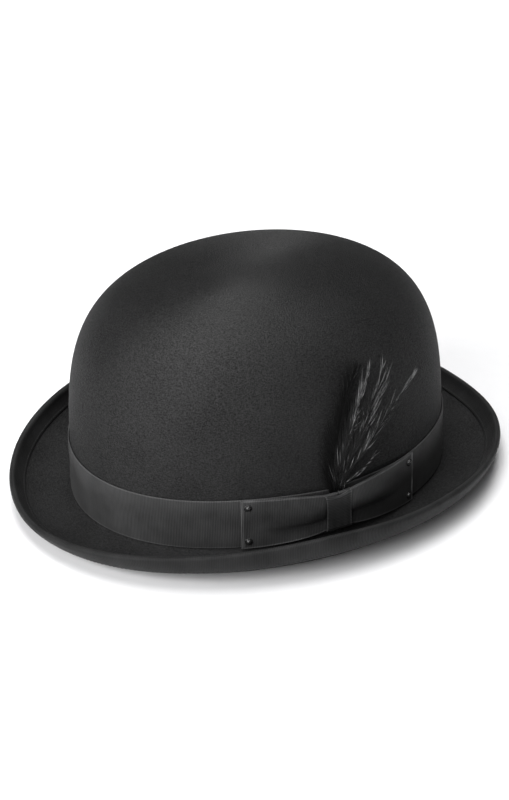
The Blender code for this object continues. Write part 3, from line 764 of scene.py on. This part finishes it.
whipping_low, whipping_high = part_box("feather_tie")
thread_radius = 0.00022
turns = round((whipping_high.z - whipping_low.z) / (2.1 * thread_radius))
half_row = 2.0 * quill_pitch + quill / 2.0 + thread_radius + 0.0001
deep = quill / 2.0 + thread_radius + 0.0001
curve = bpy.data.curves.new("whipping", "CURVE")
curve.dimensions = "3D"
curve.bevel_depth = thread_radius
curve.bevel_resolution = 1
curve.use_fill_caps = True
spline = curve.splines.new("POLY")
steps = turns * 16
spline.points.add(steps)
for k, point in enumerate(spline.points):
    angle = 2.0 * math.pi * k / 16
    along = half_row * math.copysign(abs(math.cos(angle)) ** 0.6, math.cos(angle))
    out = quill_out + deep * math.copysign(abs(math.sin(angle)) ** 0.6, math.sin(angle))
    z = whipping_low.z + thread_radius + (whipping_high.z - whipping_low.z - 2.0 * thread_radius) * k / steps
    point.co = (*wall(theta_at(bow_centre + quill_shift + along), z, out), 1.0)
curve.materials.append(thread_finish("whipping_thread", 0.014))
whipping = bpy.data.objects.new("quill_whipping", curve)
bpy.context.scene.collection.objects.link(whipping)
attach(whipping, "feather_spray")
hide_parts("feather_tie")

# ---- Sweatband --------------------------------------------------------------------------------
# Black sheepskin leather, 1 mm thick, sewn to the felt along its lower edge over a thin reed, and left free at
# its upper edge. Its ends meet at the back of the head, under a small flat bow.

lining = 0.0004
lining_gap = 0.0004
sweatband = 0.001
lining_in = felt + lining_gap + lining / 2.0
sweatband_in = lining_in + lining / 2.0 + lining_gap + sweatband / 2.0
sweatband_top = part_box("sweatband")[1].z
reed_radius = 0.0009


def leather_finish():
    """Fine sheepskin: small closed pores, shallow creases, and a handled gloss."""
    material, tree, shader = finish("sweatband_sheepskin", 0.42, Specular_IOR_Level=0.5)
    place = node(tree, "ShaderNodeTexCoord")
    pores = node(tree, "ShaderNodeTexVoronoi", {"Vector": place.outputs["Object"], "Scale": 1100.0})
    creases = node(tree, "ShaderNodeTexNoise", {"Vector": place.outputs["Object"], "Scale": 160.0, "Detail": 5.0})
    height = maths(tree, "ADD", pores.outputs["Distance"], maths(tree, "MULTIPLY", creases.outputs[0], 0.8))
    bump = node(tree, "ShaderNodeBump", {"Height": height, "Strength": 0.35, "Distance": 0.0002})
    tree.links.new(bump.outputs[0], shader.inputs["Normal"])
    color = node(tree, "ShaderNodeValToRGB", {0: creases.outputs[0]})
    color.color_ramp.elements[0].color = (0.010, 0.009, 0.009, 1.0)
    color.color_ramp.elements[1].color = (0.034, 0.031, 0.029, 1.0)
    tree.links.new(color.outputs[0], shader.inputs["Base Color"])
    rough = node(tree, "ShaderNodeMapRange", {0: creases.outputs[0], 3: 0.34, 4: 0.52})
    tree.links.new(rough.outputs[0], shader.inputs["Roughness"])
    return material


sheepskin = leather_finish()
seam_gap = 0.00025
lengthwise = np.linspace(math.pi / 2.0 + seam_gap / 0.088, math.pi * 2.5 - seam_gap / 0.088, 320)
hem = foot(lengthwise) - foot_fillet / 2.0 + reed_radius + clearance
rows = []
for share in ribbon_shares(24):
    ease = 0.0002 * np.sin(5.0 * lengthwise) * share
    roll = 0.0003 * math.exp(-((share / 0.05) ** 2))
    rows.append(wall(lengthwise, hem + (sweatband_top - hem) * share, -sweatband_in + sweatband / 2.0 + ease - roll))
leather_band = grid("leather_sweatband", rows)
thicken(leather_band, sweatband)
leather_band.data.materials.append(sheepskin)
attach(leather_band, "hat")
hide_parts("sweatband")

fine = turn(1600)
hem = foot(fine) - foot_fillet / 2.0 + reed_radius + clearance + 0.0026
seam = wall(fine, hem, -sweatband_in - sweatband / 2.0 - 0.00002)
normals = seam - wall(fine, hem, -sweatband_in)
places, directions = stations(seam, 0.003)
nearest = [int(np.argmin(((seam - p) ** 2).sum(1))) for p in places]
line = [(p, d, normals[n]) for p, d, n in zip(places, directions, nearest)]
hem_stitches = stitch_row("sweatband_stitches", line, 0.0022, 0.00018, 0.00016, thread_finish("hem_thread", 0.03))
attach(hem_stitches, "hat")

# ---- Sweatband reed ---------------------------------------------------------------------------
# A thin round cane in a leather sleeve, along the sweatband's lower edge, which keeps the hat's oval.
# The sleeve is whipped to the felt.

around = turn(320)
centre = wall(around, foot(around) - foot_fillet / 2.0, -sweatband_in)
outward = wall(around, foot(around), 1.0) - wall(around, foot(around), 0.0)
rows = []
for angle in np.linspace(0.0, 2.0 * math.pi, 15)[:-1]:
    rows.append(centre + reed_radius * (math.cos(angle) * outward + math.sin(angle) * np.array([0.0, 0.0, 1.0])))
ring = np.swapaxes(np.array(rows), 0, 1)
reed = grid("reed_sleeve", np.concatenate([ring, ring[:1]]), around=True, flip=True)
reed.data.materials.append(sheepskin)
weld = reed.modifiers.new("joined", "WELD")
weld.merge_threshold = 0.000001
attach(reed, "hat")
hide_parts("sweatband_reed")

# ---- Sweatband bow ----------------------------------------------------------------------------
# A tiny flat bow of narrow ribbon, tacked over the sweatband's seam at the back of the head.

inner_low, inner_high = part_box("sweatband_bow")
middle = (inner_low.z + inner_high.z) / 2.0
inner_half = (inner_high.x - inner_low.x) / 2.0
inner_tall = (inner_high.z - inner_low.z) / 2.0
inner_in = sweatband_in + sweatband / 2.0 + clearance
rows = []
for across in np.linspace(-1.0, 1.0, 17):
    along = np.linspace(-1.0, 1.0, 61)
    tall = inner_tall * (0.42 + 0.58 * smooth(np.abs(along) / 0.55))
    swell = 0.0007 * np.sin(math.pi * np.clip(np.abs(along), 0.0, 1.0)) ** 0.7 * (1.0 - across**2) + 0.0005
    swell = swell - 0.0003 * np.exp(-((along / 0.12) ** 2))
    theta = math.pi / 2.0 - along * inner_half / half_width
    rows.append(wall(theta, middle + tall * across, -inner_in - swell))
seam_bow = grid("seam_bow", rows)
thicken(seam_bow, 0.0004)
seam_bow.data.materials.append(grosgrain("seam_bow_ribbon", 0.024, seam_bow["across"], rib=0.0006))
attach(seam_bow, "hat")
rows = []
for angle in np.linspace(0.0, 2.0 * math.pi, 13)[:-1]:
    tall = inner_tall * 0.55 * math.sin(angle)
    theta = math.pi / 2.0 - np.linspace(-0.0016, 0.0016, 7) / half_width
    rows.append(wall(theta, middle + tall, -inner_in - 0.0006 - 0.00045 * math.cos(angle)))
rows.append(rows[0])
seam_knot = grid("seam_bow_knot", rows, flip=True)
thicken(seam_knot, 0.0003, centred=True)
seam_knot.data.materials.append(grosgrain("seam_knot_ribbon", 0.022, seam_knot["across"], rib=0.0006))
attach(seam_knot, "hat")
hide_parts("sweatband_bow")


# ---- Lining -----------------------------------------------------------------------------------
# Black satin: a side wall, gathered a little as it is eased into the crown, sewn to an oval tip.
# The wall's lower edge is tucked behind the sweatband. A corded piping covers the seam between the two.


def satin_finish():
    """Satin: long floats that shine across the cloth, with faint slack creases."""
    material, tree, shader = finish("lining_satin", 0.34, Anisotropic=0.6, Sheen_Weight=0.2, Specular_IOR_Level=0.6)
    place = node(tree, "ShaderNodeTexCoord")
    floats = node(tree, "ShaderNodeMapping", {0: place.outputs["UV"], "Scale": (6000.0, 500.0, 1.0)})
    weave = node(tree, "ShaderNodeTexNoise", {"Vector": floats.outputs[0], "Scale": 1.0, "Detail": 2.0})
    slack = node(tree, "ShaderNodeTexNoise", {"Vector": place.outputs["Object"], "Scale": 70.0, "Detail": 3.0})
    height = maths(tree, "ADD", weave.outputs[0], maths(tree, "MULTIPLY", slack.outputs[0], 2.0))
    bump = node(tree, "ShaderNodeBump", {"Height": height, "Strength": 0.25, "Distance": 0.0004})
    tree.links.new(bump.outputs[0], shader.inputs["Normal"])
    color = node(tree, "ShaderNodeValToRGB", {0: weave.outputs[0]})
    color.color_ramp.elements[0].color = gray(0.018)
    color.color_ramp.elements[1].color = gray(0.045)
    tree.links.new(color.outputs[0], shader.inputs["Base Color"])
    return material


def crown_inside(theta, z, inward):
    """Points this far inside the crown's outer face, square to it."""
    small = 0.00001
    here = wall(theta, z, 0.0)
    up = wall(theta, z + small, 0.0) - here
    out = wall(theta, z, small) - here
    out = out / small
    lean = -(up * out).sum(-1, keepdims=True) / small
    square = np.sqrt(1.0 + lean**2)
    normal = (out + lean * np.array([0.0, 0.0, 1.0])) / square
    return here - inward * normal


satin = satin_finish()
around = turn(240)
wall_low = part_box("lining_wall")[0].z
tip_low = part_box("lining_tip")[0].z
seam_z = tip_low + lining_in * 0.55
heights = np.interp(np.linspace(0.0, 1.0, 30), [0.0, 0.55, 1.0], [wall_low, wall_low + 0.042, seam_z])
rows = []
for z in heights:
    share = (z - wall_low) / (seam_z - wall_low)
    gather = 0.00018 * np.sin(46.0 * around + 1.5 * np.sin(7.0 * around)) * (0.25 + 0.75 * share**2)
    rows.append(crown_inside(around, z, (lining_in + gather)[:, None]))
satin_wall = grid("satin_wall", rows, around=True)
thicken(satin_wall, 0.0003, centred=True)
satin_wall.data.materials.append(satin)
top = foot_height + crown_height
heights = [z for z in crown_heights(90) if z > seam_z + 0.0006]
rows = [crown_inside(around, z, lining_in) for z in heights]
satin_tip = grid("satin_tip", rows, around=True, pole=(0.0, 0.0, top - lining_in))
thicken(satin_tip, 0.0003, centred=True)
satin_tip.data.materials.append(satin)
centre = crown_inside(around, seam_z + 0.0003, lining_in + 0.0005)
inward = crown_inside(around, seam_z + 0.0003, lining_in + 0.0015) - centre
inward /= np.linalg.norm(inward, axis=1, keepdims=True)
ahead = np.roll(centre, -1, 0) - centre
sideways = np.cross(ahead / np.linalg.norm(ahead, axis=1, keepdims=True), inward)
ring = [
    centre + 0.00055 * (math.cos(angle) * inward + math.sin(angle) * sideways)
    for angle in np.linspace(0.0, 2.0 * math.pi, 9)[:-1]
]
piping = grid("lining_piping", [*ring, ring[0]], around=True)
weld = piping.modifiers.new("joined", "WELD")
weld.merge_threshold = 0.000001
piping.data.materials.append(satin)
for piece in (satin_wall, satin_tip, piping):
    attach(piece, "hat")
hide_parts("lining_wall")
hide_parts("lining_tip")

# ---- Table, light and camera ------------------------------------------------------------------
# The hat stands on a plain white table in a white room, lit by five soft boxes, the strongest two from its front
# left.


def table_finish():
    material, tree, shader = finish("white_table", 0.7, Specular_IOR_Level=0.2)
    place = node(tree, "ShaderNodeTexCoord")
    grain = node(tree, "ShaderNodeTexNoise", {"Vector": place.outputs["Object"], "Scale": 90.0, "Detail": 3.0})
    color = node(tree, "ShaderNodeValToRGB", {0: grain.outputs[0]})
    color.color_ramp.elements[0].color = gray(0.80)
    color.color_ramp.elements[1].color = gray(0.83)
    tree.links.new(color.outputs[0], shader.inputs["Base Color"])
    return material


table_half = 4.0
corners = [(-table_half, -table_half), (table_half, -table_half), (-table_half, table_half), (table_half, table_half)]
table = grid("table", [[(x, y, 0.0) for x, y in corners[:2]], [(x, y, 0.0) for x, y in corners[2:]]])
table.data.materials.append(table_finish())

scene = bpy.context.scene
scene.view_settings.view_transform = "Standard"
scene.view_settings.look = "None"
world = bpy.data.worlds.new("white_room")
world.use_nodes = True
world.node_tree.nodes["Background"].inputs["Color"].default_value = (1.0, 1.0, 1.0, 1.0)
world.node_tree.nodes["Background"].inputs["Strength"].default_value = 0.04
scene.world = world

view_turn, view_rise, view_roll = (math.radians(a) for a in (61.27, 31.29, 1.36))
distance = 1.322
back = Vector((math.sin(view_turn) * math.cos(view_rise), -math.cos(view_turn) * math.cos(view_rise), math.sin(view_rise)))
level_right = Vector((math.cos(view_turn), math.sin(view_turn), 0.0))
level_up = back.cross(level_right)
right = level_right * math.cos(view_roll) - level_up * math.sin(view_roll)
up = level_right * math.sin(view_roll) + level_up * math.cos(view_roll)
base = Vector((0.0, 0.0, foot_height - 0.0003))
aim = base - right * 0.00173 + up * 0.03356
stand = base + back * distance
away = (stand - aim).normalized()
right = (right - away * right.dot(away)).normalized()
camera_data = bpy.data.cameras.new("camera")
camera_data.sensor_fit = "AUTO"
camera_data.sensor_width = 36.0
camera_data.lens = 109.8
camera_data.clip_end = 20.0
camera = bpy.data.objects.new("camera", camera_data)
scene.collection.objects.link(camera)
camera.matrix_world = Matrix.Translation(stand) @ Matrix((right, away.cross(right), away)).transposed().to_4x4()
scene.camera = camera


def softbox(name, direction, reach, size, power):
    """A square area light that faces the hat from this direction."""
    data = bpy.data.lights.new(name, "AREA")
    data.shape = "SQUARE"
    data.size = size
    data.energy = power
    lamp = bpy.data.objects.new(name, data)
    scene.collection.objects.link(lamp)
    direction = direction.normalized()
    lamp.location = Vector((0.0, 0.0, 0.06)) + direction * reach
    lamp.rotation_euler = direction.to_track_quat("Z", "Y").to_euler()


flat_back = Vector((back.x, back.y, 0.0)).normalized()


def toward(turn_left, rise):
    """A direction this far left of the camera's, and this far above level, in degrees."""
    a, e = math.radians(turn_left), math.radians(rise)
    return (flat_back * math.cos(a) - level_right * math.sin(a)) * math.cos(e) + Vector((0.0, 0.0, math.sin(e)))


softbox("key", toward(56.0, 26.0), 1.8, 1.1, 31.0)
softbox("front", toward(26.0, 32.0), 1.8, 1.1, 18.0)
softbox("overhead", toward(0.0, 85.0), 1.8, 1.1, 24.0)
softbox("behind", toward(180.0, 66.0), 1.8, 1.1, 17.0)
softbox("right", toward(-25.0, 55.0), 1.8, 1.4, 3.0)
